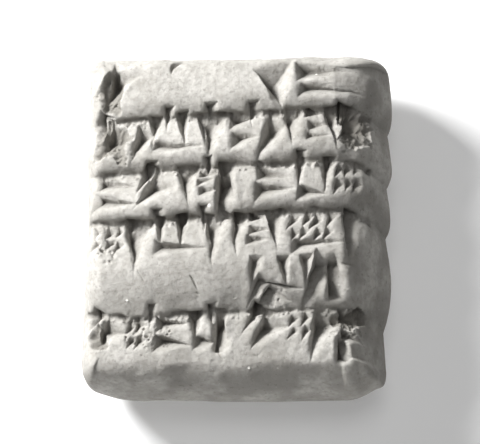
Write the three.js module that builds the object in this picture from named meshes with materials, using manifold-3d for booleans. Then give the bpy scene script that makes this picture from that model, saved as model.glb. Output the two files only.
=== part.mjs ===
// A small clay tablet: a pillow of dried clay with five bands of impressed strokes on one face.
// Millimetres. +Z is up, out of the written face, and +Y points to the head of the writing.
// The tablet lies on its back, and the origin is in the middle of its underside.
import * as THREE from "three";
import { mergeVertices } from "three/addons/utils/BufferGeometryUtils.js";
import Module from "manifold-3d";

// The pillow
const WIDTH = 36.0; // left to right, at the foot
const HEIGHT = 40.5; // foot to head
const RIM = 10.4; // thickness at the rim, before the two faces are domed
const FRONT_DOME = 1.9; // how far the middle of the written face stands above its rim
const BACK_DOME = 2.9; // the same for the back, which is fuller
const FLAT_SPOT = 0.4; // what the back's dome has lost where the tablet lies on it
const LEFT_ROUND = 2.4; // how far each edge turns in from the outline
const RIGHT_ROUND = 5.2;
const HEAD_ROUND = 1.8;
const FOOT_ROUND = 4.4;
const OVAL = 2; // power of the curve that an edge turns on: 2 is an ellipse, and 1 a flat chamfer
const RIGHT_OVAL = 1.5;
const FOOT_OVAL = 1.7;
const CORNER_OVAL = 2.4; // the same for the outline's corners, which are squarer
const TAPER = 1.1; // the left side leans in by this much at the head,
const FOOT_TAPER = 0.8; // and the right side by this much at the foot
const HEAD_ARCH = 0.5; // the head edge falls away by this much towards its left end
const HEAD_CREST = 6; // the head edge is highest this far right of the middle
const FOOT_LIFT = 2.3; // the foot edge rises by this much at its left end
const FOOT_LIFT_REACH = 8; // over this much of its length

// The bands of writing. A ruling climbs to the right, and its height is given on the middle line.
const CLIMB = 0.05;
const SIDE_SAG = 2.8; // how much lower the bands run on the right side
const CLIMB_FADE = 4; // power of the curve by which both die out at the head and foot edges
const RULINGS = [12.65, 6.5, 0.6, -10.6];
const ROLL = 1.2; // how far the clay between two rulings swells
const ROLL_CREST = 0.66; // where in a band the swell is highest, from its head to its foot
const TALL_BAND = 8; // a band taller than this swells more, and nearer its middle
const TALL_ROLL = 1.8;
const TALL_CREST = 0.5;
const RISE = 1.5; // powers of the curves that rise to the crest from the head and from the foot
const FALL = 2.2;
const ROLL_ONTO_SIDE = 0.5; // how much of the swell the right side keeps
const ROLL_GRIP = 1.6; // how fast the swell grows where the clay turns to the face,
const SIDE_GRIP = 0.88; // or to the right side
const ROLL_STATIONS = [0, 0.06, 0.25, 0.5, 0.7, 0.84, 0.94]; // where a band has grid lines

// A stroke is a three-sided pit. A wide stroke is deeper than a narrow one, but not in proportion.
const DEEPEST = 3.2;
const HALF_DEEP_WIDTH = 2.6; // a stroke this wide is half as deep as DEEPEST
const SEAT_WIDTHS = 0.5; // the deepest point lies this many widths from the head,
const SEAT_LENGTHS = 0.4; // and no more than this share of the length
const CUTTER_RISE = 2.2; // a cutter reaches this many times the pit's size, to stand clear of the clay

// No two strokes are quite alike: the most that each measure strays, up or down
const STRAY = { x: 0.3, drop: 0.2, length: 0.12, width: 0.15, angle: 6 };
const STRAY_STEP = { x: 0.618034, drop: 0.754878, length: 0.56984, width: 0.414214, angle: 0.732051 };

// Places where the face has broken away: [x, y, across, down, depth, turn in degrees]
const BREAKS = [
  [-15.2, 16.2, 3.8, 5.4, 1.2, -22],
  [-15.0, 10.2, 4.4, 5.0, 0.8, 0],
  [14.6, 10.8, 4.4, 4.6, 0.9, 15],
  [-15.9, -13.8, 2.6, 3.2, 1.0, 0],
  [14.3, -12.0, 4.6, 2.8, 0.8, 5],
];
const BREAK_HEIGHT = 2; // half the height of a break's ellipsoid, in depths
const BREAK_SPREAD = 0.58; // half its width, in widths of the break where it meets the face

// The grid that carries the pillow
const ACROSS = 18; // cells between the two turned edges
const EDGE_CELLS = 3; // cells on each turned edge
const RIM_CELLS = 4; // cells from the written face to the back

const CLAY = new THREE.MeshStandardMaterial({ color: 0xb9b4aa, roughness: 0.9, metalness: 0 });

const halfWidth = WIDTH / 2;
const halfHeight = HEIGHT / 2;
const halfRim = RIM / 2;
const { clamp, degToRad, lerp } = THREE.MathUtils;

// The kinds of stroke. drop is how far the head lies below the band's upper ruling, and tilt turns
// the tail anticlockwise. lean moves the deepest line sideways: one wall is steep, the other broad.
const stroke = (angle, lean) => (x, drop, length, width, tilt = 0) => ({
  x, drop, length, width, lean, angle: angle + tilt,
});
const upright = stroke(-90, -0.7);
const level = stroke(0, 0.6);
const slant = stroke(-124, -0.4);
const dent = stroke(-80, -0.3);
const cut = stroke(-90, -0.25);

// count strokes of one kind, each a pitch further right or further down than the last
const comb = (kind, count, pitch, x, drop, ...size) =>
  Array.from({ length: count }, (_, i) => kind(x + i * pitch, drop, ...size));
const ladder = (kind, count, pitch, x, drop, ...size) =>
  Array.from({ length: count }, (_, i) => kind(x, drop + i * pitch, ...size));

// Groups of strokes that fill the bands. They are patterns of impressions, and spell nothing.
// Each starts at x and hangs from its band's upper ruling.
const post = (x, length = 5.6, width = 3.4) => [upright(x, -0.5, length, width, -4)];
const broad = (x, drop, length, width) => [slant(x, drop, length, width, 8)];
const ticks = (x, count, pitch) => comb(upright, count, pitch, x, -1.5, 3.4, 1.5);
const rails = (x, length) => ladder(level, 2, 2.3, x, 1.0, length, 2.4);
const pads = (x, count) => [
  ...comb(cut, count + 1, 2.9, x, -0.6, 4.6, 1.8),
  level(x - 0.4, 3.3, 2.9 * count + 1.0, 1.9),
];
const grid = (x) => [
  ...comb(upright, 2, 4.2, x, -0.5, 5.0, 2.5),
  ...ladder(level, 3, 1.2, x + 1.0, 0.5, 2.9, 1.3),
];
const fan = (x) => [slant(x + 1.6, -0.9, 4.0, 2.3), slant(x + 3.6, 0.7, 5.0, 3.6, -12)];
const hatching = (x, count) => [
  ...comb(slant, count, 1.35, x, 0.4, 2.0, 1.4),
  ...comb(slant, count, 1.35, x, 2.1, 1.9, 1.4),
];
const below = (fall, strokes) => strokes.map((one) => ({ ...one, drop: one.drop + fall }));

const BANDS = [
  [...broad(-12.8, 1.8, 5.4, 4.2), dent(4.3, 1.7, 5.6, 5.2), ...below(1.8, rails(7.2, 7.6))],
  [
    ...fan(-17.0), ...broad(-10.2, 0.6, 5.0, 3.4), ...pads(-9.4, 2), ...ticks(-8.0, 3, 5.2),
    ...post(-2.2, 5.4, 3.0), ...rails(-0.8, 4.2), ...broad(5.6, 0.4, 6.2, 4.0), ...grid(7.4),
    ...fan(11.8),
  ],
  [
    ...rails(-16.8, 5.8), ...fan(-11.4), ...ticks(-10.0, 2, 7.0), ...grid(-5.2), ...post(1.2),
    ...rails(2.4, 5.0), ...pads(8.2, 1), ...hatching(12.8, 3), ...ticks(8.0, 1, 0),
  ],
  [
    ...hatching(-15.8, 3), ...post(-11.0, 7.2, 3.8), ...pads(-8.8, 2), ...ticks(-8.6, 2, 5.0),
    ...post(-1.6, 6.4, 3.0), ...grid(0.8), ...hatching(7.8, 4), level(6.8, 4.0, 6.8, 2.2),
    ...post(14.4, 7.2, 2.2), ...below(5.4, pads(3.2, 2)), ...broad(12.2, 4.8, 7.2, 4.4),
    ...below(5.2, post(14.0, 5.0, 3.0)), ...below(8.2, fan(2.6)),
  ],
  [
    ...fan(-17.0), ...hatching(-11.6, 2), ...rails(-9.2, 4.2), ...pads(-4.0, 1),
    ...ticks(-9.6, 2, 7.4), ...post(0.6, 4.2, 3.2), ...fan(2.2), ...hatching(8.0, 2),
    ...broad(12.2, 0.4, 6.6, 4.0), ...rails(12.6, 3.4), ...below(3.4, post(14.6, 2.8, 2.2)),
  ],
];

// How far a measure of the nth stroke strays. n times an irrational number, less its whole part, is
// spread evenly from 0 to 1, so each measure strays by its own amount.
const strayOf = (n, measure) => STRAY[measure] * (2 * ((n * STRAY_STEP[measure]) % 1) - 1);
const asPressed = (one, n) => ({
  x: one.x + strayOf(n, "x"),
  drop: one.drop + strayOf(n, "drop"),
  length: one.length * (1 + strayOf(n, "length")),
  width: one.width * (1 + strayOf(n, "width")),
  angle: one.angle + strayOf(n, "angle"),
  lean: one.lean,
});

// The edges of the bands on the middle line, from the head to the foot
const bandEdges = [halfHeight, ...RULINGS, -halfHeight];

// How freely a height moves: nearly in full at the rulings, and not at all at the head and foot edges
const freedomAt = (y) => 1 - Math.pow(Math.abs(y) / halfHeight, CLIMB_FADE);

// The swell of a band: a power curve rises from its head to the crest, and another from its foot.
// The last band runs on to the foot of the tablet, and has no fall of its own.
function rollAt(y) {
  const band = Math.max(bandEdges.findIndex((edge) => y >= edge) - 1, 0);
  const tall = bandEdges[band] - bandEdges[band + 1];
  const [height, crest] = tall > TALL_BAND && band < RULINGS.length
    ? [TALL_ROLL, TALL_CREST]
    : [ROLL, ROLL_CREST];
  const place = (bandEdges[band] - y) / tall;
  if (place < crest) return height * (1 - Math.pow(1 - place / crest, RISE));
  if (band === RULINGS.length) return height;
  return height * (1 - Math.pow(1 - (1 - place) / (1 - crest), FALL));
}

// The clay's surface over a point of a plain box, which is WIDTH by HEIGHT by RIM about the origin.
// The box's edges are turned as quarter ovals, then the faces are domed and the outline eased.
function surface(boxX, boxY, boxZ) {
  const coreX = clamp(boxX, LEFT_ROUND - halfWidth, halfWidth - RIGHT_ROUND);
  const coreY = clamp(boxY, FOOT_ROUND - halfHeight, halfHeight - HEAD_ROUND);
  const roundX = boxX < 0 ? LEFT_ROUND : RIGHT_ROUND;
  const roundY = boxY < 0 ? FOOT_ROUND : HEAD_ROUND;
  const out = new THREE.Vector3((boxX - coreX) / roundX, (boxY - coreY) / roundY, boxZ / halfRim);
  const sideways = Math.abs(out.x) + Math.abs(out.y) + 1e-9;
  const edge = OVAL + (RIGHT_OVAL - OVAL) * Math.max(out.x, 0) / sideways
    + (FOOT_OVAL - OVAL) * Math.max(-out.y, 0) / sideways;
  const power = lerp(edge, CORNER_OVAL, 4 * Math.abs(out.x * out.y) / sideways ** 2);
  const reach = out.toArray().reduce((sum, part) => sum + Math.abs(part) ** power, 0);
  out.divideScalar(reach ** (1 / power));
  const point = new THREE.Vector3(coreX + out.x * roundX, coreY + out.y * roundY, out.z * halfRim);

  const dome = (1 - (point.x / halfWidth) ** 2) * (1 - (point.y / halfHeight) ** 2);
  const back = Math.min(dome * BACK_DOME, BACK_DOME - FLAT_SPOT);
  point.z += out.z * (out.z > 0 ? dome * FRONT_DOME : back);

  // The bands swell the written face, and the right side that they run on to
  const facing = clamp(Math.max(ROLL_GRIP * out.z, SIDE_GRIP * out.x), 0, 1);
  const roll = rollAt(boxY) * facing;
  point.z += roll * Math.max(out.z, 0);
  point.x += roll * Math.max(out.x, 0) * ROLL_ONTO_SIDE;

  const up = (point.y + halfHeight) / HEIGHT;
  const leftward = (halfWidth - point.x) / WIDTH;
  const footEnd = clamp((FOOT_LIFT_REACH - halfWidth - point.x) / FOOT_LIFT_REACH, 0, 1);
  point.y += freedomAt(boxY) * (CLIMB * point.x - SIDE_SAG * Math.max(out.x, 0) ** 2);
  point.x += TAPER * up * leftward - FOOT_TAPER * (1 - up) * (1 - leftward);
  point.y -= HEAD_ARCH * up * ((point.x - HEAD_CREST) / (halfWidth + HEAD_CREST)) ** 2;
  point.y += FOOT_LIFT * (1 - up) ** 2 * footEnd ** 2;
  return point;
}
const onFace = (x, y) => surface(x, y, halfRim);

// A closed geometry as a solid
function solidFrom(wasm, geometry) {
  geometry.deleteAttribute("normal");
  geometry.deleteAttribute("uv");
  const merged = mergeVertices(geometry, 1e-4);
  return new wasm.Manifold(new wasm.Mesh({
    numProp: 3,
    vertProperties: merged.attributes.position.array,
    triVerts: new Uint32Array(merged.index.array),
  }));
}
const fromCorners = (wasm, corners) =>
  solidFrom(wasm, new THREE.BufferGeometry().setFromPoints(corners));

// even stations from a to b, with a but without b
const stations = (a, b, count) => Array.from({ length: count }, (_, i) => lerp(a, b, i / count));

// The pillow: a box's grid, each point of it laid on the surface
function pillow(wasm) {
  const xs = [
    ...stations(-halfWidth, LEFT_ROUND - halfWidth, EDGE_CELLS),
    ...stations(LEFT_ROUND - halfWidth, halfWidth - RIGHT_ROUND, ACROSS),
    ...stations(halfWidth - RIGHT_ROUND, halfWidth, EDGE_CELLS),
    halfWidth,
  ];
  const faceFoot = FOOT_ROUND - halfHeight;
  const feet = [...RULINGS, faceFoot];
  const bandLines = bandEdges.slice(0, -1).flatMap((top, i) =>
    ROLL_STATIONS.map((share) => lerp(top, feet[i], share)));
  const ys = [...stations(-halfHeight, faceFoot, EDGE_CELLS), faceFoot, ...bandLines.reverse()];
  const zs = [...stations(-halfRim, halfRim, RIM_CELLS), halfRim];

  const corners = [];
  // One face of the box. The corners a, b, c, d run anticlockwise when seen from outside.
  const side = (us, vs, at) => {
    for (let i = 0; i + 1 < us.length; i++) {
      for (let j = 0; j + 1 < vs.length; j++) {
        const a = at(us[i], vs[j]);
        const b = at(us[i + 1], vs[j]);
        const c = at(us[i + 1], vs[j + 1]);
        const d = at(us[i], vs[j + 1]);
        corners.push(a, b, c, a, c, d);
      }
    }
  };
  side(xs, ys, (x, y) => surface(x, y, halfRim));
  side(ys, xs, (y, x) => surface(x, y, -halfRim));
  side(ys, zs, (y, z) => surface(halfWidth, y, z));
  side(zs, ys, (z, y) => surface(-halfWidth, y, z));
  side(xs, zs, (x, z) => surface(x, -halfHeight, z));
  side(zs, xs, (z, x) => surface(x, halfHeight, z));
  return fromCorners(wasm, corners);
}

const strokeDepth = (width) => (DEEPEST * width) / (width + HALF_DEEP_WIDTH);

// The cutter for one stroke: a four-cornered wedge with its point in the clay. Its walls run through
// the pit's three rim corners and on into the air.
function strokeCutter(wasm, top, { x, drop, length, width, lean, angle }) {
  const along = new THREE.Vector2(Math.cos(degToRad(angle)), Math.sin(degToRad(angle)));
  const beside = new THREE.Vector2(-along.y, along.x);
  const place = (forward, sideways) =>
    new THREE.Vector2(x, top - drop).addScaledVector(along, forward).addScaledVector(beside, sideways);
  const rim = [place(0, width / 2), place(0, -width / 2), place(length, 0)];
  const low = place(Math.min(SEAT_WIDTHS * width, SEAT_LENGTHS * length), (lean * width) / 2);

  const [left, right, tail] = rim.map((p) => onFace(p.x, p.y));
  const facing = right.clone().sub(left).cross(tail.clone().sub(left)).normalize();
  const point = onFace(low.x, low.y).addScaledVector(facing, -strokeDepth(width));
  const [a, b, c] = [left, right, tail].map((p) => p.sub(point).multiplyScalar(CUTTER_RISE).add(point));
  return fromCorners(wasm, [a, b, c, b, a, point, c, b, point, a, c, point]);
}

// The cutter for one break: an ellipsoid whose lowest point is the depth below the face
function breakCutter(wasm, [x, y, across, down, depth, turn]) {
  const geometry = new THREE.IcosahedronGeometry(1, 1);
  geometry.scale(BREAK_SPREAD * across, BREAK_SPREAD * down, BREAK_HEIGHT * depth);
  geometry.rotateZ(degToRad(turn));
  const middle = onFace(x, y);
  geometry.translate(middle.x, middle.y, middle.z + (BREAK_HEIGHT - 1) * depth);
  return solidFrom(wasm, geometry);
}

const wasm = await Module();
wasm.setup();

const strokes = BANDS.flatMap((band, i) => band.map((one) => ({ one, top: bandEdges[i] })));
const cutters = [
  ...strokes.map(({ one, top }, n) => strokeCutter(wasm, top, asPressed(one, n))),
  ...BREAKS.map((one) => breakCutter(wasm, one)),
];
const carved = cutters.reduce((clay, one) => clay.subtract(one), pillow(wasm));

// A crumb that neighbouring strokes have cut loose falls away
const [largest] = carved.decompose().sort((a, b) => b.volume() - a.volume());
const { vertProperties, triVerts } = largest.getMesh();
const geometry = new THREE.BufferGeometry();
geometry.setAttribute("position", new THREE.BufferAttribute(vertProperties, 3));
geometry.setIndex(new THREE.BufferAttribute(triVerts, 1));

// The middle of the underside becomes the origin
geometry.computeBoundingBox();
const middle = geometry.boundingBox.getCenter(new THREE.Vector3());
geometry.translate(-middle.x, -middle.y, -geometry.boundingBox.min.z);
geometry.computeVertexNormals();

const tablet = new THREE.Mesh(geometry, CLAY);
tablet.name = "tablet";

const group = new THREE.Group();
group.add(tablet);
export default group;
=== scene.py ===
import math
from typing import NamedTuple

import bpy
import numpy as np
from mathutils import Matrix, Vector


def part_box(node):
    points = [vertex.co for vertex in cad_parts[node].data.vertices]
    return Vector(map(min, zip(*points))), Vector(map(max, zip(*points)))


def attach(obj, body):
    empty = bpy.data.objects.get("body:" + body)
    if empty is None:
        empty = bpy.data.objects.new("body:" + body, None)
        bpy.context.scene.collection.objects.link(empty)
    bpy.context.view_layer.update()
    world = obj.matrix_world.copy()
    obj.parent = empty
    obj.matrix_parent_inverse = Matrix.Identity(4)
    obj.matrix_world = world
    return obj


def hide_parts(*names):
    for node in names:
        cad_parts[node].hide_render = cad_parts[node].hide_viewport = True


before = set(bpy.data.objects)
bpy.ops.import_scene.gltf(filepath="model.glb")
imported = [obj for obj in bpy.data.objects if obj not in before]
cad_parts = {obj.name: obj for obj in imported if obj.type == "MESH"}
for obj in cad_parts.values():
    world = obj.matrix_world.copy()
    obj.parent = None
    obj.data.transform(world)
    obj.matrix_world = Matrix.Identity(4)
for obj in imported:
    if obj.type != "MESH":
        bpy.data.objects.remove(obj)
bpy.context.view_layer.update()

bl_info = {
    "name": "Clay Tablet",
    "version": (1, 0, 0),
    "blender": (4, 5, 0),
    "location": "View3D > Sidebar > Tablet",
    "description": "Makes a clay tablet with rows of impressed strokes, and a pale stage for it",
    "category": "Add Mesh",
}

MM = 0.001
SOLID_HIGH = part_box("tablet")[1]

# The pillow's edges
OVAL = 2.0  # power of the curve that an edge turns on: 2 is an ellipse, and 1 a flat chamfer
RIGHT_OVAL = 1.5
FOOT_OVAL = 1.7
CORNER_OVAL = 2.4  # the same for the outline's corners, which are squarer
HEAD_CREST = 6.0  # the head edge is highest this far right of the middle
FOOT_LIFT_REACH = 8.0  # how much of the foot edge rises, from its left end
ROUND_VARIES = 0.24  # how much wider or narrower an edge's rounding gets from place to place

# The bands of writing. A ruling climbs to the right, and its height is given on the middle line.
RULINGS = (12.65, 6.5, 0.6, -10.6)
ROLL_CREST = 0.66  # where in a band the swell is highest, from its head to its foot
TALL_BAND = 8.0  # a band taller than this swells more, and nearer its middle
TALL_GAIN = 1.5
TALL_CREST = 0.5
RISE, FALL = 1.5, 2.2  # powers of the curves that rise to the crest, from the head and the foot
ROLL_ONTO_SIDE = 0.5  # how much of the swell the right side keeps
ROLL_GRIP = 1.6  # how fast the swell grows where the clay turns to the face,
SIDE_GRIP = 0.88  # or to the right side
SIDE_SAG = 2.8  # how much lower the bands run on the right side
CLIMB_FADE = 4  # power of the curve by which both die out at the head and foot edges

# Strokes
HALF_DEEP_WIDTH = 2.6  # a stroke this wide is half as deep as the deepest
SEAT_WIDTHS = 0.5  # the deepest point lies this many widths from the head,
SEAT_LENGTHS = 0.4  # and no more than this share of the length
RIM_LEAST, RIM_SHARE = 0.08, 0.06  # a stroke's edge is rounded this far, and more by its width
WAVER = 0.16  # how far edges and creases waver, up or down
STRAY = {"x": 0.3, "drop": 0.2, "length": 0.12, "width": 0.15, "angle": 6.0}
STRAY_STEP = {"x": 0.618034, "drop": 0.754878, "length": 0.56984, "width": 0.414214,
              "angle": 0.732051}

# The clay round the strokes
LIP_REACH = 0.6  # how far the clay that a stroke pressed out has moved
LIP_FADE = 0.35  # at this depth, about a third of it is left
ARRIS = 0.3  # how far in the wear takes an arris down
WEAR, WEAR_VARIES, WEAR_LIMITS = 0.8, 0.8, (0.2, 1.2)  # how worn it is, from place to place
DIRT_AND_SHADE_REACH = 0.8  # a place lower than the mean of what lies this near is darkened by dirt and painted shade
RULING_WIDTH = 0.3
RULING_BEND = 0.3  # how far a ruling strays from a straight line
RULING_FORCE, FORCE_VARIES, FORCE_LIMITS = 0.7, 0.8, (0, 1.4)  # how hard it was drawn
# how dark the creases of the rulings and of the scratches are made, as dirt and painted shade
RULING_DIRT_AND_SHADE = 0.45
SCRATCH_DIRT_AND_SHADE = 2.0
SCRATCH_END = 0.1  # a scratch's end is no thinner than this share of its width

# Bumps of the clay's skin, as pairs of size and height. The second row is weaker on the back.
UNEVENNESS = ((9.0, 0.18), (5.0, 0.12), (2.2, 0.07))
GRAININESS = ((0.9, 0.03), (0.5, 0.018), (0.28, 0.008))
BACK_GRAIN = 0.35  # how much of the second row the back keeps

# Where each layered noise is used: its size, its seed and, unless it has 3, its layers. A stretch
# below 1 draws it out along that axis.
EDGE_WAVER = (2.5, 31)
WAVER_STRETCH = (1, 0.3, 0.3)
EDGE_ROUNDING = (6.0, 36)
ROUNDING_STRETCH = (1, 1, 0.2)
BEND_ACROSS = (2.4, 61)
BEND_UP = (2.4, 71)
WEAR_PATCHES = (3.0, 81)
RULING_WOBBLE = (3.0, 3)
RULING_PRESSURE = (1.6, 5)
BREAK_EDGE = (1.8, 41, 4)
BREAK_STREAKS = (1.0, 51)
BREAK_CRUMBLE = (0.6, 55)
BREAK_SAND = (0.25, 57, 1)
# the next is the patches of the painted shade on the right side and the foot
SIDE_SHADE_PATCHES = (3.0, 91, 5)

# Places where the face has broken away: x, y, across, down, depth, turn in degrees
BREAKS = (
    (-15.2, 16.2, 3.8, 5.4, 1.2, -22),
    (-15.0, 10.2, 4.4, 5.0, 0.8, 0),
    (14.6, 10.8, 4.4, 4.6, 0.9, 15),
    (-15.9, -13.8, 2.6, 3.2, 1.0, 0),
    (14.3, -12.0, 4.6, 2.8, 0.8, 5),
)
BREAK_REACH = 3.0  # how far below and above its middle a break takes clay away
RAGGED = 0.36  # how far a break's edge strays, as a share of its half size
STREAKED, CRUMBLED, SANDY = 0.2, 0.14, 0.05  # heights of the bumps on a broken floor
FLOOR_EDGE, ROUGH_EDGE = 3, 4  # how fast the bumps and the raw clay begin at a break's edge
STREAK_TURN = math.radians(62)  # broken clay is streaked this way
STREAK_ACROSS, STREAK_ALONG = 0.5, 2.4

# Places where only the skin is gone: x, y, across, down, how many small pits
PITTED = (
    (-9.8, -12.9, 5.4, 2.8, 150),
    (-14.9, -2.6, 2.6, 3.0, 50),
    (13.6, -12.6, 5.0, 2.6, 80),
    (-14.2, 10.6, 5.0, 4.0, 70),
    (5.0, -9.4, 3.0, 2.0, 30),
)

# Scratches and cracks: from x, y to x, y, bow to the left, width, depth
SCRATCHES = (
    (-7.9, 17.9, -6.3, 19.6, 0.45, 0.34, 0.42),
    (-4.8, -6.1, -3.9, -7.9, 0.10, 0.13, 0.20),
    (-1.6, -14.0, -0.5, -16.0, -0.20, 0.14, 0.18),
    (-11.5, -3.9, -10.3, -6.6, -0.15, 0.10, 0.10),
    (9.2, 15.3, 12.0, 15.9, 0.20, 0.12, 0.10),
)

# Pale grains in the face: x, y, radius
GRAINS = ((-2.7, 1.9, 0.3), (-12.3, -8.6, 0.2), (9.6, 17.6, 0.18), (2.4, -17.2, 0.2))
GRAIN_PALENESS = 1.5  # the mask in a grain's middle, where 1 and above is all pale
GRAIN_RISE = 0.1  # how far a grain stands out where the mask is 1


class Crumbs(NamedTuple):
    """Small dabs of clay: how wide they are, and how high, or deep where that is below 0."""

    radii: tuple
    heights: tuple


RULING_CRUMBS = Crumbs((0.12, 0.4), (-0.16, 0.26))
FACE_CRUMBS = Crumbs((0.1, 0.26), (-0.1, 0.05))
PITS = Crumbs((0.12, 0.36), (-0.3, 0.1))
RULING_CRUMB_COUNT, FACE_CRUMB_COUNT = 170, 260
CRUMB_BAND = 0.32  # the crumbs along a ruling lie this far from their line,
CRUMB_DROP = 0.3  # which is this far below it
CRUMB_MARGIN = 2  # and end this far from the sides
CRUMB_SEED = 11

# Painted shade on the sides, in patches: on the right and the foot, and none near the floor
RIGHT_SIDE_SHADE, FOOT_SIDE_SHADE = 1.6, 1.1
SIDE_SHADE, SIDE_SHADE_VARIES = 0.5, 0.9  # how dark the painted shade is, from place to place
SIDE_SHADE_FADE_HEIGHT = 4.0  # below this the painted shade thins out
RESTING_HEIGHT = 1.0  # below this the skin's bumps die out, so that the tablet lies flat

SIDE_CELL = 2.5  # how much coarser it is up the sides
SCRAMBLE = (73856093, 19349663, 83492791)  # odd factors that the noise scrambles a place with
SEED_FACTOR, MIX_FACTOR = 2654435761, 1274126177

# The stage, with its directions and, in metres, its distances and sizes
LAMP_DIRECTION = Vector((-0.64, 0.48, 0.54))
BOUNCE_DIRECTION = Vector((-0.1, -1.0, 0.16))
BOUNCE_DISTANCE = 500 * MM
BOUNCE_SIZE = 160 * MM
OVERHEAD_DIRECTION = Vector((0.12, 0.2, 1.0))
OVERHEAD_DISTANCE = 600 * MM
OVERHEAD_SIZE = 250 * MM
AIM_DEPTH = 3.484 * MM  # the camera looks at a place this far below the top of the solid
AIM = Vector((0.6 * MM, 0.2 * MM, SOLID_HIGH.z - AIM_DEPTH))
SENSOR = 36.0  # width of the camera's sensor, in millimetres like its lens
CLIP = (0.01, 20.0)  # the nearest and the farthest that the camera sees


def length(name, description, millimetres):
    """A length property whose default is given in millimetres and kept in metres."""
    return bpy.props.FloatProperty(
        name=name, description=description, default=millimetres * MM, min=0.0,
        precision=5, unit="LENGTH",
    )


def tint(name, description, colour):
    """A colour property."""
    return bpy.props.FloatVectorProperty(
        name=name, description=description, default=colour, min=0.0, max=1.0, size=3,
        subtype="COLOR",
    )


def share(name, description, default):
    """A property between 0 and 1."""
    return bpy.props.FloatProperty(
        name=name, description=description, default=default, min=0.0, max=1.0, subtype="FACTOR",
    )


class TabletSizes(bpy.types.PropertyGroup):
    """The pillow of clay and how deeply it is marked."""

    width: length("Width", "Left to right, at the foot", 36.0)
    height: length("Height", "Foot to head", 40.5)
    rim: length("Rim", "Thickness at the rim, before the faces are domed", 10.4)
    front_dome: length("Front Dome", "How far the written face stands above its rim", 1.9)
    back_dome: length("Back Dome", "How far the back stands below its rim", 2.9)
    flat_spot: length("Flat Spot", "What the back's dome has lost where it rests", 0.4)
    left_round: length("Left Rounding", "How far the left edge turns in", 2.4)
    right_round: length("Right Rounding", "How far the right edge turns in", 5.2)
    head_round: length("Head Rounding", "How far the head edge turns in", 1.8)
    foot_round: length("Foot Rounding", "How far the foot edge turns in", 4.4)
    taper: length("Taper", "How far the left side leans in at the head", 1.1)
    foot_taper: length("Foot Taper", "How far the right side leans in at the foot", 0.8)
    head_arch: length("Head Arch", "How far the head edge falls away at its left end", 0.5)
    foot_lift: length("Foot Lift", "How far the foot edge rises at its left end", 2.3)
    climb: share("Climb", "How steeply the rulings climb to the right", 0.05)
    roll: length("Roll", "How far the clay between two rulings swells", 1.2)
    deepest: length("Deepest Stroke", "The depth that ever wider strokes come close to", 3.2)
    lip: share("Lip", "How much of the pressed clay stands up round a stroke", 0.6)
    groove: length("Ruling Depth", "Depth of the line scored between two bands", 0.3)
    cell: length("Cell", "Spacing of the surface's points before it is thinned", 0.1)
    faces: bpy.props.IntProperty(
        name="Triangles", description="Most triangles that the tablet may keep",
        default=190000, min=1000,
    )


class ClayColours(bpy.types.PropertyGroup):
    """The clay's colours and finish."""

    body: tint("Body", "The bare clay", (0.47, 0.456, 0.428))
    stain: tint("Stain", "Cloudy darker patches", (0.28, 0.268, 0.242))
    # this colour darkens the strokes, rulings and scratches as dirt and painted shade, the right
    # side and foot as painted shade, and the dark specks
    dirt_and_shade: tint("Dirt", "What has settled in the strokes", (0.10, 0.092, 0.08))
    raw: tint("Broken Clay", "Rough clay where the skin has broken away", (0.17, 0.16, 0.14))
    grit: tint("Grit", "Pale grains in the clay", (0.85, 0.83, 0.79))
    roughness: share("Roughness", "How dull the clay is", 0.88)
    grain: share("Grain", "Strength of the fine sandy texture", 0.7)


class StageSettings(bpy.types.PropertyGroup):
    """The floor, the lamps and the camera."""

    floor: tint("Floor", "Colour of the floor", (0.83, 0.83, 0.83))
    floor_size: length("Floor Size", "Side of the square floor", 6000.0)
    floor_glow: share("Floor Glow", "How much light the floor gives by itself", 0.18)
    key_power: bpy.props.FloatProperty(
        name="Lamp", description="Power of the lamp at the upper left", default=1.7, unit="POWER",
    )
    key_size: length("Lamp Size", "Side of the lamp, which softens its shadows", 85.0)
    key_distance: length("Lamp Distance", "From the tablet to the lamp", 270.0)
    bounce_power: bpy.props.FloatProperty(
        name="Bounce", description="Power of the wide soft lamp at the foot", default=0.6,
        unit="POWER",
    )
    overhead_power: bpy.props.FloatProperty(
        name="Overhead", description="Power of the soft lamp above the tablet", default=0.7,
        unit="POWER",
    )
    fill: bpy.props.FloatProperty(
        name="Fill", description="Strength of the light from all round", default=0.12, min=0.0,
    )
    camera_distance: length("Camera Distance", "From the tablet to the camera", 550.0)
    camera_tilt: bpy.props.FloatProperty(
        name="Camera Tilt", description="How far the camera stands from upright, to the foot",
        default=math.radians(8), subtype="ANGLE",
    )
    camera_swing: bpy.props.FloatProperty(
        name="Camera Swing", description="How far the camera stands from upright, to the right",
        default=math.radians(3), subtype="ANGLE",
    )
    framing: length("Framing", "Width of the picture at the tablet's face", 55.8)


class Pillow(NamedTuple):
    """The tablet's sizes in millimetres."""

    width: float
    height: float
    rim: float
    front_dome: float
    back_dome: float
    flat_spot: float
    left_round: float
    right_round: float
    head_round: float
    foot_round: float
    taper: float
    foot_taper: float
    head_arch: float
    foot_lift: float
    climb: float
    roll: float

    @classmethod
    def from_settings(cls, sizes):
        """Every length in millimetres, and the climb as it is."""
        values = {name: getattr(sizes, name) / MM for name in cls._fields}
        values["climb"] = sizes.climb
        return cls(**values)


# Strokes

class Stroke(NamedTuple):
    """One impression: its head, how it runs, and which wall is the broad one."""

    x: float
    drop: float
    length: float
    width: float
    angle: float
    lean: float


def kind_of_stroke(angle, lean):
    """A function that makes strokes whose tail points along that angle, in degrees."""
    def make(x, drop, size, width, tilt=0.0):
        return Stroke(x, drop, size, width, angle + tilt, lean)
    return make


upright = kind_of_stroke(-90, -0.7)
level = kind_of_stroke(0, 0.6)
slant = kind_of_stroke(-124, -0.4)
dent = kind_of_stroke(-80, -0.3)
cut = kind_of_stroke(-90, -0.25)


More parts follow.
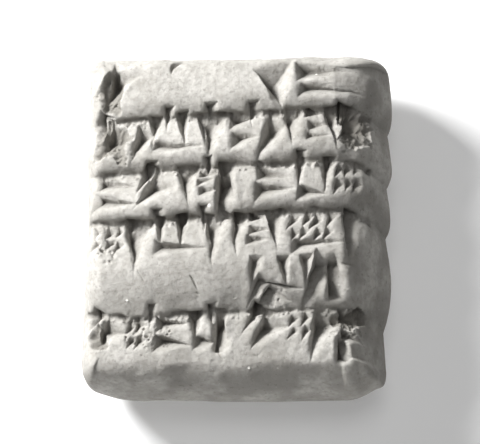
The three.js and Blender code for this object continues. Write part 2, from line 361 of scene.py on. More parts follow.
def comb(kind, count, pitch, x, drop, *size):
    """Strokes of one kind side by side, a pitch apart."""
    return [kind(x + i * pitch, drop, *size) for i in range(count)]


def ladder(kind, count, pitch, x, drop, *size):
    """Strokes of one kind one below the other, a pitch apart."""
    return [kind(x, drop + i * pitch, *size) for i in range(count)]


def post(x, size=5.6, width=3.4):
    """One tall upright."""
    return [upright(x, -0.5, size, width, -4)]


def broad(x, drop, size, width):
    """One large slanting impression."""
    return [slant(x, drop, size, width, 8)]


def ticks(x, count, pitch):
    """Thin uprights that cross the ruling above."""
    return comb(upright, count, pitch, x, -1.5, 3.4, 1.5)


def rails(x, size):
    """Two long level strokes, one below the other."""
    return ladder(level, 2, 2.3, x, 1.0, size, 2.4)


def pads(x, count):
    """Narrow uprights over a long level stroke, with raised pads between them."""
    return [*comb(cut, count + 1, 2.9, x, -0.6, 4.6, 1.8),
            level(x - 0.4, 3.3, 2.9 * count + 1.0, 1.9)]


def grid(x):
    """Two uprights with three short rungs between them."""
    return [*comb(upright, 2, 4.2, x, -0.5, 5.0, 2.5),
            *ladder(level, 3, 1.2, x + 1.0, 0.5, 2.9, 1.3)]


def fan(x):
    """A narrow and a broad slant that spread from the ruling."""
    return [slant(x + 1.6, -0.9, 4.0, 2.3), slant(x + 3.6, 0.7, 5.0, 3.6, -12)]


def hatching(x, count):
    """Two rows of small slants."""
    return [*comb(slant, count, 1.35, x, 0.4, 2.0, 1.4),
            *comb(slant, count, 1.35, x, 2.1, 1.9, 1.4)]


def below(fall, strokes):
    """The same strokes, lower in the band."""
    return [one._replace(drop=one.drop + fall) for one in strokes]


# What fills each band, from the head to the foot, as groups of strokes
BANDS = (
    [*broad(-12.8, 1.8, 5.4, 4.2), dent(4.3, 1.7, 5.6, 5.2), *below(1.8, rails(7.2, 7.6))],
    [
        *fan(-17.0), *broad(-10.2, 0.6, 5.0, 3.4), *pads(-9.4, 2), *ticks(-8.0, 3, 5.2),
        *post(-2.2, 5.4, 3.0), *rails(-0.8, 4.2), *broad(5.6, 0.4, 6.2, 4.0), *grid(7.4),
        *fan(11.8),
    ],
    [
        *rails(-16.8, 5.8), *fan(-11.4), *ticks(-10.0, 2, 7.0), *grid(-5.2), *post(1.2),
        *rails(2.4, 5.0), *pads(8.2, 1), *hatching(12.8, 3), *ticks(8.0, 1, 0),
    ],
    [
        *hatching(-15.8, 3), *post(-11.0, 7.2, 3.8), *pads(-8.8, 2), *ticks(-8.6, 2, 5.0),
        *post(-1.6, 6.4, 3.0), *grid(0.8), *hatching(7.8, 4), level(6.8, 4.0, 6.8, 2.2),
        *post(14.4, 7.2, 2.2), *below(5.4, pads(3.2, 2)), *broad(12.2, 4.8, 7.2, 4.4),
        *below(5.2, post(14.0, 5.0, 3.0)), *below(8.2, fan(2.6)),
    ],
    [
        *fan(-17.0), *hatching(-11.6, 2), *rails(-9.2, 4.2), *pads(-4.0, 1),
        *ticks(-9.6, 2, 7.4), *post(0.6, 4.2, 3.2), *fan(2.2), *hatching(8.0, 2),
        *broad(12.2, 0.4, 6.6, 4.0), *rails(12.6, 3.4), *below(3.4, post(14.6, 2.8, 2.2)),
    ],
)


def stray(n, measure):
    """How far a measure of the nth stroke strays: the part of n irrational steps past the last
    whole number, brought to between -1 and 1, times the most that the measure strays."""
    return STRAY[measure] * (2 * ((n * STRAY_STEP[measure]) % 1) - 1)


def as_pressed(one, n):
    """The nth stroke as it came out."""
    return one._replace(
        x=one.x + stray(n, "x"),
        drop=one.drop + stray(n, "drop"),
        length=one.length * (1 + stray(n, "length")),
        width=one.width * (1 + stray(n, "width")),
        angle=one.angle + stray(n, "angle"),
    )


# The pillow

def band_edges(pillow):
    """The edges of the bands on the middle line, from the head to the foot."""
    return (pillow.height / 2, *RULINGS, -pillow.height / 2)


def roll_at(y, pillow):
    """The swell of the bands. In each, 1 - (1 - t)^RISE climbs from its head to the crest, and
    1 - (1 - t)^FALL from its foot. The last band runs on to the foot of the tablet and has no
    fall of its own."""
    edges = band_edges(pillow)
    swell = np.zeros_like(y)
    for top, foot in zip(edges, edges[1:]):
        last = foot == edges[-1]
        tall = top - foot > TALL_BAND and not last
        gain, crest = (TALL_GAIN, TALL_CREST) if tall else (1.0, ROLL_CREST)
        place = np.clip((top - y) / (top - foot), 0, 1)
        rise = 1 - (1 - np.minimum(place / crest, 1)) ** RISE
        fall = 1.0 if last else 1 - (1 - np.minimum((1 - place) / (1 - crest), 1)) ** FALL
        inside = (y <= top) & (y >= foot)
        swell = np.where(inside, np.minimum(rise, fall) * gain, swell)
    return swell * pillow.roll


def pillow_surface(box, pillow, waver=0.0, rounder=1.0):
    """The clay's surface over points of a plain box about the origin, as an array of points.

    A point is split into its nearest point of the box's core and a step outwards from it. The
    step is scaled by the edge roundings and brought to length 1 in the p-norm, which turns each
    edge on a quarter oval. Then the faces gain a dome, (1 - x^2)(1 - y^2) in half sizes, the bands
    swell, the rows climb and sag over the right side, the sides taper, the head edge arches and
    the foot's left end lifts. waver moves the creases between the bands up or down, and rounder
    widens the edge roundings.
    """
    half = np.array([pillow.width, pillow.height, pillow.rim]) / 2
    x, y, z = box.T
    round_x = np.where(x < 0, pillow.left_round, pillow.right_round) * rounder
    round_y = np.where(y < 0, pillow.foot_round, pillow.head_round) * rounder
    core_x = np.sign(x) * np.minimum(np.abs(x), half[0] - round_x)
    core_y = np.sign(y) * np.minimum(np.abs(y), half[1] - round_y)
    step = np.stack([(x - core_x) / round_x, (y - core_y) / round_y, z / half[2]])
    sideways = np.abs(step[0]) + np.abs(step[1]) + 1e-9
    edge = (OVAL + (RIGHT_OVAL - OVAL) * np.maximum(step[0], 0) / sideways
            + (FOOT_OVAL - OVAL) * np.maximum(-step[1], 0) / sideways)
    power = edge + (CORNER_OVAL - edge) * 4 * np.abs(step[0] * step[1]) / sideways ** 2
    step = step / (np.abs(step) ** power).sum(axis=0) ** (1 / power)
    px = core_x + step[0] * round_x
    py = core_y + step[1] * round_y
    pz = step[2] * half[2]

    dome = (1 - (px / half[0]) ** 2) * (1 - (py / half[1]) ** 2)
    back = np.minimum(dome * pillow.back_dome, pillow.back_dome - pillow.flat_spot)
    pz = pz + step[2] * np.where(step[2] > 0, dome * pillow.front_dome, back)

    facing = np.clip(np.maximum(ROLL_GRIP * step[2], SIDE_GRIP * step[0]), 0, 1)
    roll = roll_at(np.clip(y + waver, -half[1], half[1]), pillow) * facing
    pz = pz + roll * np.maximum(step[2], 0)
    px = px + roll * np.maximum(step[0], 0) * ROLL_ONTO_SIDE

    up = (py + half[1]) / pillow.height
    leftward = (half[0] - px) / pillow.width
    foot_end = np.clip((FOOT_LIFT_REACH - half[0] - px) / FOOT_LIFT_REACH, 0, 1)
    freedom = 1 - (np.abs(y) / half[1]) ** CLIMB_FADE
    py = py + freedom * (pillow.climb * px - SIDE_SAG * np.maximum(step[0], 0) ** 2)
    px = px + pillow.taper * up * leftward - pillow.foot_taper * (1 - up) * (1 - leftward)
    py = py - pillow.head_arch * up * ((px - HEAD_CREST) / (half[0] + HEAD_CREST)) ** 2
    py = py + pillow.foot_lift * (1 - up) ** 2 * foot_end ** 2
    return np.stack([px, py, pz], axis=1)


def box_skin(xs, ys, zs):
    """The skin of a box as shared points, quads, and the numbers of the upper side's points.

    Each lattice point with an end index on some axis lies on the skin and takes the next number.
    A side is a slice of these numbers, and its quads join neighbours in the slice."""
    ends = [np.zeros(len(axis), bool) for axis in (xs, ys, zs)]
    for end in ends:
        end[[0, -1]] = True
    on_skin = ends[0][:, None, None] | ends[1][None, :, None] | ends[2][None, None, :]
    number = (np.cumsum(on_skin) - 1).reshape(on_skin.shape)
    points = np.stack([axis[on_skin] for axis in np.meshgrid(xs, ys, zs, indexing="ij")], axis=1)

    def quads(side):
        corners = (side[:-1, :-1], side[1:, :-1], side[1:, 1:], side[:-1, 1:])
        return np.stack(corners, axis=-1).reshape(-1, 4)

    sides = [
        quads(number[:, :, -1]), quads(number[:, :, 0].T),
        quads(number[-1]), quads(number[0].T),
        quads(number[:, 0]), quads(number[:, -1].T),
    ]
    return points, np.concatenate(sides), number[:, :, -1]


def normals_of(points, quads):
    """Each point's outward direction: the sum of the cross products of its quads' diagonals."""
    corner = points[quads]
    across = np.cross(corner[:, 2] - corner[:, 0], corner[:, 3] - corner[:, 1])
    total = np.stack([
        np.bincount(quads.ravel(), np.repeat(across[:, axis], 4), len(points)) for axis in range(3)
    ], axis=1)
    return total / np.linalg.norm(total, axis=1, keepdims=True)


def noise(points, size, seed):
    """Smooth random values from -1 to 1. Points of a cubic lattice of that size get a scrambled
    number each, and the eight round a place are blended by 6t^5 - 15t^4 + 10t^3."""
    place = points / size + 512
    cell = np.floor(place).astype(np.int64)
    part = place - cell
    part = part ** 3 * (part * (part * 6 - 15) + 10)
    total = 0.0
    for corner in np.ndindex(2, 2, 2):
        mixed = ((cell + corner) * SCRAMBLE).sum(axis=1) + seed * SEED_FACTOR
        mixed = ((mixed ^ (mixed >> 13)) * MIX_FACTOR) & 0xFFFFFFFF
        value = ((mixed ^ (mixed >> 15)) & 0xFFFF) / 32767.5 - 1
        weight = np.prod(np.where(corner, part, 1 - part), axis=1)
        total = total + value * weight
    return total


def layered_noise(points, size, seed, layers=3):
    """Noise with finer noise on it, each layer half the size and half the height."""
    return sum(noise(points, size / 2 ** i, seed + i) / 2 ** i for i in range(layers))


# The relief. Each map is an array over the written face, indexed [x, y].

class Face:
    """The written face as a flat chart: its grid, and the depth map that strokes are cut into."""

    def __init__(self, xs, ys):
        self.xs, self.ys = xs, ys
        self.x, self.y = np.meshgrid(xs, ys, indexing="ij")
        self.cell = xs[1] - xs[0]
        self.depth = np.zeros_like(self.x)
        self.bent_x = self.x + WAVER * self.noise(*BEND_ACROSS)
        self.bent_y = self.y + WAVER * self.noise(*BEND_UP)

    def noise(self, size, seed):
        """Layered noise over the grid."""
        flat = np.stack([self.x.ravel(), self.y.ravel(), np.zeros(self.x.size)], axis=1)
        return layered_noise(flat, size, seed).reshape(self.x.shape)

    def window(self, low, high):
        """The part of the grid between two corners."""
        i = np.searchsorted(self.xs, [low[0], high[0]])
        j = np.searchsorted(self.ys, [low[1], high[1]])
        return slice(*i), slice(*j)

    def spread(self, values, size):
        """The map blurred by a bell curve of that size, along x and then along y."""
        reach = int(3 * size / self.cell) + 1
        offsets = np.arange(-reach, reach + 1) * self.cell
        bell = np.exp(-0.5 * (offsets / size) ** 2)
        bell /= bell.sum()

        def smooth(row):
            return np.convolve(np.pad(row, reach, mode="edge"), bell, mode="valid")
        return np.apply_along_axis(smooth, 1, np.apply_along_axis(smooth, 0, values))


def press(face, top, stroke, deepest):
    """Cuts one stroke: a pit with three plane walls and slightly wavering edges.

    The depth q at a place is the stroke's depth times the least, over the rim's three edges, of
    the distance to that edge over the lowest point's distance to it. The rim is rounded over r by
    (q + r)^2 / 4r between -r and r. Where strokes meet, the deeper one stands."""
    angle = math.radians(stroke.angle)
    along = np.array([math.cos(angle), math.sin(angle)])
    beside = np.array([-along[1], along[0]])
    head = np.array([stroke.x, top - stroke.drop])
    corners = [
        head - beside * stroke.width / 2,
        head + along * stroke.length,
        head + beside * stroke.width / 2,
    ]
    seat = min(SEAT_WIDTHS * stroke.width, SEAT_LENGTHS * stroke.length)
    low = head + along * seat + beside * stroke.lean * stroke.width / 2
    depth = deepest * stroke.width / (stroke.width + HALF_DEEP_WIDTH)
    rim = RIM_LEAST + RIM_SHARE * stroke.width

    margin = 2 * (rim + WAVER)
    spot = face.window(np.min(corners, axis=0) - margin, np.max(corners, axis=0) + margin)
    x, y = face.bent_x[spot], face.bent_y[spot]
    part = np.full(x.shape, np.inf)
    for start, end in zip(corners, corners[1:] + corners[:1]):
        edge = (end - start) / np.linalg.norm(end - start)
        inward = np.array([-edge[1], edge[0]])
        distance = (x - start[0]) * inward[0] + (y - start[1]) * inward[1]
        part = np.minimum(part, distance / ((low - start) @ inward))
    pit = part * depth
    pit = np.where(pit > rim, pit, np.maximum(pit + rim, 0) ** 2 / (4 * rim))
    face.depth[spot] = np.maximum(face.depth[spot], pit)


def written_face(face, pillow, sizes, rng):
    """The lift of the written face, where dirt and painted shade darken it and where pale grains
    show: strokes with lips round them, worn arrises, scored rulings, crumbs, pits, scratches and
    grains."""
    strokes = [(top, one) for top, band in zip(band_edges(pillow), BANDS) for one in band]
    for n, (top, one) in enumerate(strokes):
        press(face, top, as_pressed(one, n), sizes.deepest / MM)
    lip = sizes.lip * face.spread(face.depth, LIP_REACH) * np.exp(-face.depth / LIP_FADE)
    lift = lip - face.depth
    wear = np.clip(WEAR + WEAR_VARIES * face.noise(*WEAR_PATCHES), *WEAR_LIMITS)
    lift += wear * np.minimum(face.spread(lift, ARRIS) - lift, 0)
    # Dirt and painted shade, darkest where a stroke is deepest; the rulings and scratches add
    # theirs below
    dirt_and_shade = np.maximum(face.depth - face.spread(face.depth, DIRT_AND_SHADE_REACH), 0)

    wobble = RULING_BEND * face.noise(*RULING_WOBBLE)
    force = np.clip(RULING_FORCE + FORCE_VARIES * face.noise(*RULING_PRESSURE), *FORCE_LIMITS)
    for ruling in RULINGS:
        scored = force * np.exp(-((face.y - ruling + wobble) / RULING_WIDTH) ** 2)
        lift -= sizes.groove / MM * scored
        dirt_and_shade += RULING_DIRT_AND_SHADE * scored
        scatter(face, lift, rng, RULING_CRUMB_COUNT, (0, ruling - CRUMB_DROP),
                (face.xs[-1] - CRUMB_MARGIN, CRUMB_BAND), RULING_CRUMBS)
    scatter(face, lift, rng, FACE_CRUMB_COUNT, (0, 0), (face.xs[-1], face.ys[-1]), FACE_CRUMBS)
    for x, y, across, down, count in PITTED:
        scatter(face, lift, rng, count, (x, y), (across / 2, down / 2), PITS)
    for scratch in SCRATCHES:
        dirt_and_shade += SCRATCH_DIRT_AND_SHADE * score(face, lift, *scratch)
    pale = np.zeros_like(lift)
    for x, y, radius in GRAINS:
        dab(face, pale, x, y, radius, GRAIN_PALENESS)
    return lift + GRAIN_RISE * pale, dirt_and_shade, pale


def dab(face, lift, x, y, radius, height):
    """A round bump, or a dent where the height is below 0: height times (1 - r^2)^2."""
    spot = face.window((x - radius, y - radius), (x + radius, y + radius))
    away = ((face.x[spot] - x) ** 2 + (face.y[spot] - y) ** 2) / radius ** 2
    lift[spot] += height * np.clip(1 - away, 0, 1) ** 2


def scatter(face, lift, rng, count, middle, reach, crumbs):
    """Dabs of random sizes in an oblong about a middle."""
    for _ in range(count):
        away = rng.uniform(-1, 1, 2)
        dab(face, lift, *(np.array(middle) + away * reach), rng.uniform(*crumbs.radii),
            rng.uniform(*crumbs.heights))


def score(face, lift, x0, y0, x1, y1, bow, width, depth):
    """Cuts one bowed scratch and returns how deep it is everywhere.

    Along the chord t runs from 0 to 1. The scratch stands bow times 4t(1 - t) off the chord,
    thins to both ends as the root of that, and has the profile 1 - s^2 across its width."""
    start, chord = np.array([x0, y0]), np.array([x1 - x0, y1 - y0])
    size = np.linalg.norm(chord)
    along = chord / size
    dx, dy = face.bent_x - start[0], face.bent_y - start[1]
    t = np.clip((dx * along[0] + dy * along[1]) / size, 0, 1)
    beside = dy * along[0] - dx * along[1] - bow * 4 * t * (1 - t)
    thin = np.sqrt(4 * t * (1 - t))
    across = beside / (width * np.maximum(thin, SCRATCH_END))
    cut = depth * thin * np.clip(1 - across ** 2, 0, 1)
    lift -= cut
    return cut


def broken_places(points, where, pillow):
    """How deep the clay has broken away at each point, and a mask of the rough floor.

    A break's depth is its greatest depth times (1 - q^2)^0.5, where q is the distance from its
    middle in half sizes, made ragged by noise. Its floor is streaked and roughened by finer
    noise."""
    dig = np.zeros(len(points))
    rough = np.zeros(len(points))
    ragged = RAGGED * layered_noise(points, *BREAK_EDGE)
    c, s = math.cos(STREAK_TURN), math.sin(STREAK_TURN)
    x, y, z = points.T
    along, beside = (x * c + y * s) / STREAK_ALONG, (y * c - x * s) / STREAK_ACROSS
    streaked = np.stack([along, beside, z], axis=1)
    floor = (STREAKED * layered_noise(streaked, *BREAK_STREAKS)
             + CRUMBLED * layered_noise(points, *BREAK_CRUMBLE)
             + SANDY * layered_noise(points, *BREAK_SAND))
    for x, y, across, down, depth, turn in BREAKS:
        middle = pillow_surface(np.array([[x, y, pillow.rim / 2]]), pillow)[0] - where
        c, s = math.cos(math.radians(turn)), math.sin(math.radians(turn))
        dx, dy, dz = (points - middle).T
        q = np.sqrt(((dx * c + dy * s) / (across / 2)) ** 2
                    + ((dy * c - dx * s) / (down / 2)) ** 2 + (dz / BREAK_REACH) ** 2) + ragged
        inside = np.clip(1 - q ** 2, 0, 1)
        bumps = floor * np.minimum(inside * FLOOR_EDGE, 1)
        dig = np.maximum(dig, depth * inside ** 0.5 + bumps)
        rough = np.maximum(rough, np.minimum(inside * ROUGH_EDGE, 1))
    return dig, rough


def tablet_mesh(sizes):
    """The tablet as points, quads and masks, in metres, lying on the origin. Each point of the
    pillow moves along its normal by the sum of the relief, the breaks and the bumps there."""
    pillow = Pillow.from_settings(sizes)
    cell = sizes.cell / MM * 1.0
    half = np.array([pillow.width, pillow.height, pillow.rim]) / 2
    xs, ys, zs = (np.linspace(-h, h, round(2 * h / c) + 1)
                  for h, c in zip(half, (cell, cell, SIDE_CELL * cell)))
    box, quads, upper = box_skin(xs, ys, zs)
    waver = WAVER * layered_noise(box * WAVER_STRETCH, *EDGE_WAVER)
    rounder = 1 + ROUND_VARIES * layered_noise(box * ROUNDING_STRETCH, *EDGE_ROUNDING)
    points = pillow_surface(box, pillow, waver, rounder)
    low, high = points.min(axis=0), points.max(axis=0)
    where = np.array([(low[0] + high[0]) / 2, (low[1] + high[1]) / 2, low[2]])
    points -= where
    normals = normals_of(points, quads)

    face = Face(xs, ys)
    lift, hollow_dirt_and_shade, pale = np.zeros((3, len(points)))
    maps = written_face(face, pillow, sizes, np.random.default_rng(CRUMB_SEED))
    for values, chart in zip((lift, hollow_dirt_and_shade, pale), maps):
        values[upper.ravel()] = chart.ravel()

    dig, rough = broken_places(points, where, pillow)
    lift -= dig
    for size, height in UNEVENNESS:
        lift += height * noise(points, size, int(size * 10))
    fine = np.clip(BACK_GRAIN + normals[:, 2], BACK_GRAIN, 1)
    for size, height in GRAININESS:
        lift += fine * height * noise(points, size, int(size * 100))
    # Painted shade on the right side and the foot, in patches, fading out near the floor
    sides = np.maximum(RIGHT_SIDE_SHADE * normals[:, 0], -FOOT_SIDE_SHADE * normals[:, 1])
    patches = SIDE_SHADE + SIDE_SHADE_VARIES * layered_noise(points, *SIDE_SHADE_PATCHES)
    painted_side_shade = np.clip(sides, 0, 1) * np.clip(patches, 0, 1)
    painted_side_shade *= np.clip(points[:, 2] / SIDE_SHADE_FADE_HEIGHT, 0, 1)
    masks = {"hollow_dirt_and_shade": hollow_dirt_and_shade, "rough": rough, "pale": pale, "painted_side_shade": painted_side_shade}
    free = np.clip(points[:, 2] / RESTING_HEIGHT, 0, 1)
    points = points + normals * (lift * free)[:, None]
    return points * MM, quads, masks


def new_mesh_object(name, points, quads, masks):
    """A mesh object at the origin, with each mask as an attribute of its points."""
    mesh = bpy.data.meshes.new(name)
    mesh.from_pydata(points, [], quads)
    for mask, values in masks.items():
        layer = mesh.attributes.new(mask, "FLOAT", "POINT")
        layer.data.foreach_set("value", values.astype(np.float32))
    piece = bpy.data.objects.new(name, mesh)
    bpy.context.scene.collection.objects.link(piece)
    return piece


def thin_out(piece, most):
    """Collapses the edges that matter least until the piece has at most that many triangles."""
    triangles = sum(len(face.vertices) - 2 for face in piece.data.polygons)
    if triangles <= most:
        return
    modifier = piece.modifiers.new("thin", "DECIMATE")
    modifier.ratio = most / triangles
    modifier.use_collapse_triangulate = True
    full = piece.data
    seen = piece.evaluated_get(bpy.context.evaluated_depsgraph_get())
    piece.data = bpy.data.meshes.new_from_object(seen)
    piece.data.name = full.name
    piece.modifiers.clear()
    bpy.data.meshes.remove(full)


# Materials

def add(tree, kind, inputs=None, **settings):
    """A new node with its settings, whose inputs are set to a value or linked to a socket."""
    node = tree.nodes.new(kind)
    for name, value in settings.items():
        setattr(node, name, value)
    for name, value in (inputs or {}).items():
        socket = node.inputs[name]
        if isinstance(value, bpy.types.NodeSocket):
            tree.links.new(value, socket)
        else:
            socket.default_value = value
    return node


def new_group(name, inputs, outputs):
    """An empty shader node group with those sockets, its input node and its output node."""
    tree = bpy.data.node_groups.new(name, "ShaderNodeTree")
    for socket, kind, default in inputs:
        made = tree.interface.new_socket(socket, in_out="INPUT", socket_type=kind)
        if default is not None:
            made.default_value = default
    for socket, kind in outputs:
        tree.interface.new_socket(socket, in_out="OUTPUT", socket_type=kind)
    return tree, tree.nodes.new("NodeGroupInput"), tree.nodes.new("NodeGroupOutput")


def speckle_group():
    """Spots of one size. The noise, less what the cover leaves bare, is multiplied by the contrast
    and kept between 0 and 1."""
    tree, given, made = new_group("Speckle", [
        ("Vector", "NodeSocketVector", None),
        ("Size", "NodeSocketFloat", 0.001),
        ("Cover", "NodeSocketFloat", 0.5),
        ("Contrast", "NodeSocketFloat", 3.0),
        ("Detail", "NodeSocketFloat", 3.0),
    ], [("Mask", "NodeSocketFloat")])
    scale = add(tree, "ShaderNodeMath", {0: 1.0, 1: given.outputs["Size"]}, operation="DIVIDE")
    spots = add(tree, "ShaderNodeTexNoise", {
        "Vector": given.outputs["Vector"], "Scale": scale.outputs[0],
        "Detail": given.outputs["Detail"],
    })
    bare = add(tree, "ShaderNodeMath", {0: 1.0, 1: given.outputs["Cover"]}, operation="SUBTRACT")
    above = add(tree, "ShaderNodeMath", {0: spots.outputs["Fac"], 1: bare.outputs[0]},
                operation="SUBTRACT")
    mask = add(tree, "ShaderNodeMath", {0: above.outputs[0], 1: given.outputs["Contrast"], 2: 0.5},
               operation="MULTIPLY_ADD", use_clamp=True)
    tree.links.new(mask.outputs[0], made.inputs["Mask"])
    return tree


FINER = 3.1  # how many times finer the second noise is
SANDY_NOISE = {"Detail": 8.0, "Roughness": 0.75}


def grain_group():
    """Sandy height: coarse noise plus finer noise at a share of it."""
    tree, given, made = new_group("Grain", [
        ("Vector", "NodeSocketVector", None),
        ("Size", "NodeSocketFloat", 0.0005),
        ("Fine Share", "NodeSocketFloat", 0.5),
    ], [("Height", "NodeSocketFloat")])
    coarse = add(tree, "ShaderNodeMath", {0: 1.0, 1: given.outputs["Size"]}, operation="DIVIDE")
    fine = add(tree, "ShaderNodeMath", {0: coarse.outputs[0], 1: FINER}, operation="MULTIPLY")
    big, small = (add(tree, "ShaderNodeTexNoise", {
        "Vector": given.outputs["Vector"], "Scale": scale.outputs[0], **SANDY_NOISE,
    }) for scale in (coarse, fine))
    height = add(tree, "ShaderNodeMath", {
        0: small.outputs["Fac"], 1: given.outputs["Fine Share"], 2: big.outputs["Fac"],
    }, operation="MULTIPLY_ADD")
    tree.links.new(height.outputs[0], made.inputs["Height"])
    return tree


def use_group(tree, group, inputs):
    """A node that places a group in a material."""
    node = tree.nodes.new("ShaderNodeGroup")
    node.node_tree = group
    for name, value in inputs.items():
        if isinstance(value, bpy.types.NodeSocket):
            tree.links.new(value, node.inputs[name])
        else:
            node.inputs[name].default_value = value
    return node


def group_named(name, build):
    """The group of that name, built the first time that it is asked for."""
    return bpy.data.node_groups.get(name) or build()


def blend(tree, share_of_second, first, second):
    """The colour of two mixed colours."""
    node = add(tree, "ShaderNodeMix", data_type="RGBA", blend_type="MIX")
    for socket, value in ((0, share_of_second), (6, first), (7, second)):
        if isinstance(value, bpy.types.NodeSocket):
            tree.links.new(value, node.inputs[socket])
        else:
            node.inputs[socket].default_value = value
    return node.outputs[2]


def scaled(tree, value, factor):
    """A value times a number, kept between 0 and 1."""
    return add(tree, "ShaderNodeMath", {0: value, 1: factor}, operation="MULTIPLY",
               use_clamp=True).outputs[0]


def opaque(colour):
    """A colour property with an alpha of 1."""
    return (*colour, 1.0)


def new_material(name):
    """An empty node material, its tree and the socket for its shader."""
    material = bpy.data.materials.new(name)
    material.use_nodes = True
    tree = material.node_tree
    tree.nodes.clear()
    output = tree.nodes.new("ShaderNodeOutputMaterial")
    return material, tree, output.inputs["Surface"]


# The clay's spots, with their sizes in metres
SPECKLES = {
    "clouds": {"Size": 0.0045, "Cover": 0.45, "Contrast": 3.5, "Detail": 7.0},
    "blotches": {"Size": 0.0022, "Cover": 0.42, "Contrast": 5.0, "Detail": 8.0},
    "mottle": {"Size": 0.0006, "Cover": 0.48, "Contrast": 4.5, "Detail": 8.0},
    "dark specks": {"Size": 0.00045, "Cover": 0.34, "Contrast": 7.0, "Detail": 3.0},
    "pale specks": {"Size": 0.0004, "Cover": 0.14, "Contrast": 12.0, "Detail": 0.0},
}

# What lies on the bare clay, from the bottom up: a mask, how much of the colour shows where the
# mask is full, and the colour
CLAY_LAYERS = (
    ("clouds", 0.4, "stain"),
    # painted shade on the right side and the foot
    ("painted_side_shade", 0.5, "dirt_and_shade"),
    ("blotches", 0.35, "stain"),
    ("mottle", 0.5, "stain"),
    ("dark specks", 0.35, "dirt_and_shade"),
    ("pale specks", 0.2, "grit"),
    ("rough", 0.7, "raw"),
    # dirt and painted shade in the strokes, rulings and scratches
    ("hollow_dirt_and_shade", 0.85, "dirt_and_shade"),
    ("pale", 1.0, "grit"),
)
SAND = {"Size": 0.0012, "Fine Share": 0.6}
SAND_HEIGHT = 0.0003
MOTTLE_DULLNESS = 0.08  # how much duller the mottle is
CLAY_SHEEN = 0.25

# The card of the floor
CARD_CLOUDS = {"Size": 0.03, "Cover": 0.5, "Contrast": 1.5, "Detail": 2.0}
CLOUD_SHARE = 0.03
CARD_SHADE = (0.6, 0.6, 0.6)
CARD_ROUGHNESS = 0.95
CARD_SHEEN = 0.1
WHITE = (1.0, 1.0, 1.0)


def clay_material(colours):
    """Dry clay: cloudy stains, painted shade in patches on the right and foot sides, fine
    mottling, specks, raw breaks, dirt and painted shade in the strokes, and pale grains."""
    material, tree, surface = new_material("clay")
    place = tree.nodes.new("ShaderNodeTexCoord").outputs["Object"]
    speckle = group_named("Speckle", speckle_group)
    grain = group_named("Grain", grain_group)

    masks = {name: use_group(tree, speckle, {"Vector": place, **spots}).outputs["Mask"]
             for name, spots in SPECKLES.items()}
    for name in ("hollow_dirt_and_shade", "rough", "pale", "painted_side_shade"):
        masks[name] = add(tree, "ShaderNodeAttribute", attribute_name=name).outputs["Fac"]

    colour = opaque(colours.body)
    for name, most, finish in CLAY_LAYERS:
        amount = scaled(tree, masks[name], most)
        colour = blend(tree, amount, colour, opaque(getattr(colours, finish)))

    height = use_group(tree, grain, {"Vector": place, **SAND}).outputs["Height"]
    bump = add(tree, "ShaderNodeBump", {
        "Strength": colours.grain, "Distance": SAND_HEIGHT, "Height": height,
    })
    dullness = add(tree, "ShaderNodeMath", {
        0: masks["mottle"], 1: MOTTLE_DULLNESS, 2: colours.roughness,
    }, operation="MULTIPLY_ADD", use_clamp=True).outputs[0]
    shader = add(tree, "ShaderNodeBsdfPrincipled", {
        "Base Color": colour, "Roughness": dullness, "Normal": bump.outputs["Normal"],
        "Specular IOR Level": CLAY_SHEEN,
    })
    tree.links.new(shader.outputs["BSDF"], surface)
    return material


def floor_material(colour, glow):
    """Plain matt card, with the faintest unevenness. Its glow keeps the tablet's shadow pale."""
    material, tree, surface = new_material("floor_card")
    place = tree.nodes.new("ShaderNodeTexCoord").outputs["Object"]
    clouds = use_group(tree, group_named("Speckle", speckle_group), {
        "Vector": place, **CARD_CLOUDS,
    }).outputs["Mask"]
    shade = blend(tree, scaled(tree, clouds, CLOUD_SHARE), opaque(colour), opaque(CARD_SHADE))
    shader = add(tree, "ShaderNodeBsdfPrincipled", {
        "Base Color": shade, "Roughness": CARD_ROUGHNESS, "Specular IOR Level": CARD_SHEEN,
        "Emission Color": opaque(WHITE), "Emission Strength": glow,
    })
    tree.links.new(shader.outputs["BSDF"], surface)
    return material


# Operators

class OBJECT_OT_make_clay_tablet(bpy.types.Operator):
    """Make the clay tablet with its bands of strokes, broken places and finish"""

    bl_idname = "object.make_clay_tablet"
    bl_label = "Make Clay Tablet"
    bl_options = {"REGISTER", "UNDO"}

    def execute(self, context):
        scene = context.scene
        piece = new_mesh_object("clay_tablet", *tablet_mesh(scene.tablet_sizes))
        thin_out(piece, scene.tablet_sizes.faces)
        piece.data.shade_smooth()
        piece.data.materials.append(clay_material(scene.clay_colours))
        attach(piece, "root")
        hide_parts("tablet")
        return {"FINISHED"}


class SCENE_OT_make_tablet_stage(bpy.types.Operator):
    """Make the pale floor, the three lamps, the light from all round and the camera"""

    bl_idname = "scene.make_tablet_stage"
    bl_label = "Make Stage"
    bl_options = {"REGISTER", "UNDO"}

    def execute(self, context):
        scene = context.scene
        stage = scene.tablet_stage
        make_floor(scene, stage)
        make_lamp("key", LAMP_DIRECTION, stage.key_distance, stage.key_size, stage.key_power)
        make_lamp("bounce", BOUNCE_DIRECTION, BOUNCE_DISTANCE, BOUNCE_SIZE, stage.bounce_power)
        make_lamp("overhead", OVERHEAD_DIRECTION, OVERHEAD_DISTANCE, OVERHEAD_SIZE,
                  stage.overhead_power)
        make_fill(scene, stage)
        make_camera(scene, stage)
        return {"FINISHED"}


def make_floor(scene, stage):
    """A square of matt card under the tablet."""
    reach = stage.floor_size / 2
    corners = [(-reach, -reach, 0), (reach, -reach, 0), (reach, reach, 0), (-reach, reach, 0)]
    mesh = bpy.data.meshes.new("floor")
    mesh.from_pydata(corners, [], [(0, 1, 2, 3)])
    mesh.materials.append(floor_material(stage.floor, stage.floor_glow))
    floor = bpy.data.objects.new("floor", mesh)
    scene.collection.objects.link(floor)


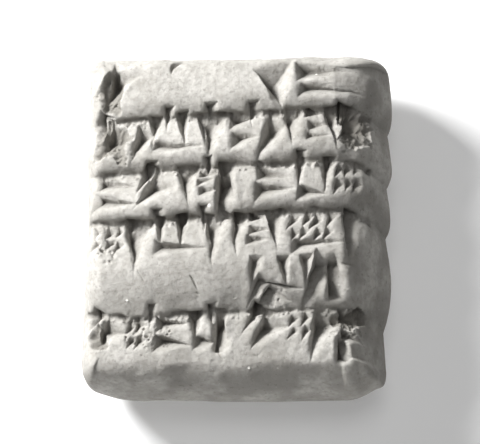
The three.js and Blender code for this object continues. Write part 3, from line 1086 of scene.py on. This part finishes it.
def make_lamp(name, direction, distance, size, power):
    """A square lamp that faces the tablet from that direction."""
    light = bpy.data.lights.new(name, "AREA")
    light.energy = power
    light.size = size
    lamp = bpy.data.objects.new(name, light)
    away = direction.normalized()
    lamp.location = away * distance
    lamp.rotation_euler = (-away).to_track_quat("-Z", "Y").to_euler()
    bpy.context.scene.collection.objects.link(lamp)


def make_fill(scene, stage):
    """Even light from all round."""
    world = bpy.data.worlds.new("studio")
    world.use_nodes = True
    background = world.node_tree.nodes["Background"]
    background.inputs["Color"].default_value = opaque(WHITE)
    background.inputs["Strength"].default_value = stage.fill
    scene.world = world
    scene.view_settings.view_transform = "Standard"


def make_camera(scene, stage):
    """A long lens above the tablet, a little towards the foot and the right."""
    camera = bpy.data.cameras.new("camera")
    camera.sensor_width = SENSOR
    camera.lens = SENSOR * stage.camera_distance / stage.framing
    camera.clip_start, camera.clip_end = CLIP
    seat = bpy.data.objects.new("camera", camera)
    away = Vector((math.tan(stage.camera_swing), -math.tan(stage.camera_tilt), 1.0)).normalized()
    right = Vector((0, 1, 0)).cross(away).normalized()
    turn = Matrix((right, away.cross(right), away)).transposed()
    seat.matrix_world = Matrix.LocRotScale(AIM + away * stage.camera_distance, turn, None)
    scene.collection.objects.link(seat)
    scene.camera = seat


class VIEW3D_PT_clay_tablet(bpy.types.Panel):
    """Sizes, colours and buttons of the clay tablet"""

    bl_label = "Clay Tablet"
    bl_idname = "VIEW3D_PT_clay_tablet"
    bl_space_type = "VIEW_3D"
    bl_region_type = "UI"
    bl_category = "Tablet"

    def draw(self, context):
        scene = context.scene
        parts = (
            (scene.tablet_sizes, OBJECT_OT_make_clay_tablet),
            (scene.clay_colours, None),
            (scene.tablet_stage, SCENE_OT_make_tablet_stage),
        )
        for settings, operator in parts:
            box = self.layout.box()
            for name in settings.__annotations__:
                box.prop(settings, name)
            if operator:
                box.operator(operator.bl_idname)


SETTINGS = {
    "tablet_sizes": TabletSizes,
    "clay_colours": ClayColours,
    "tablet_stage": StageSettings,
}
CLASSES = (
    *SETTINGS.values(),
    OBJECT_OT_make_clay_tablet,
    SCENE_OT_make_tablet_stage,
    VIEW3D_PT_clay_tablet,
)


def register():
    for one in CLASSES:
        bpy.utils.register_class(one)
    for name, group in SETTINGS.items():
        setattr(bpy.types.Scene, name, bpy.props.PointerProperty(type=group))


def unregister():
    for name in SETTINGS:
        delattr(bpy.types.Scene, name)
    for one in reversed(CLASSES):
        bpy.utils.unregister_class(one)


def main():
    """Registers the add-on and makes the pieces in order."""
    register()
    bpy.ops.object.make_clay_tablet()
    bpy.ops.scene.make_tablet_stage()


if __name__ == "__main__":
    main()
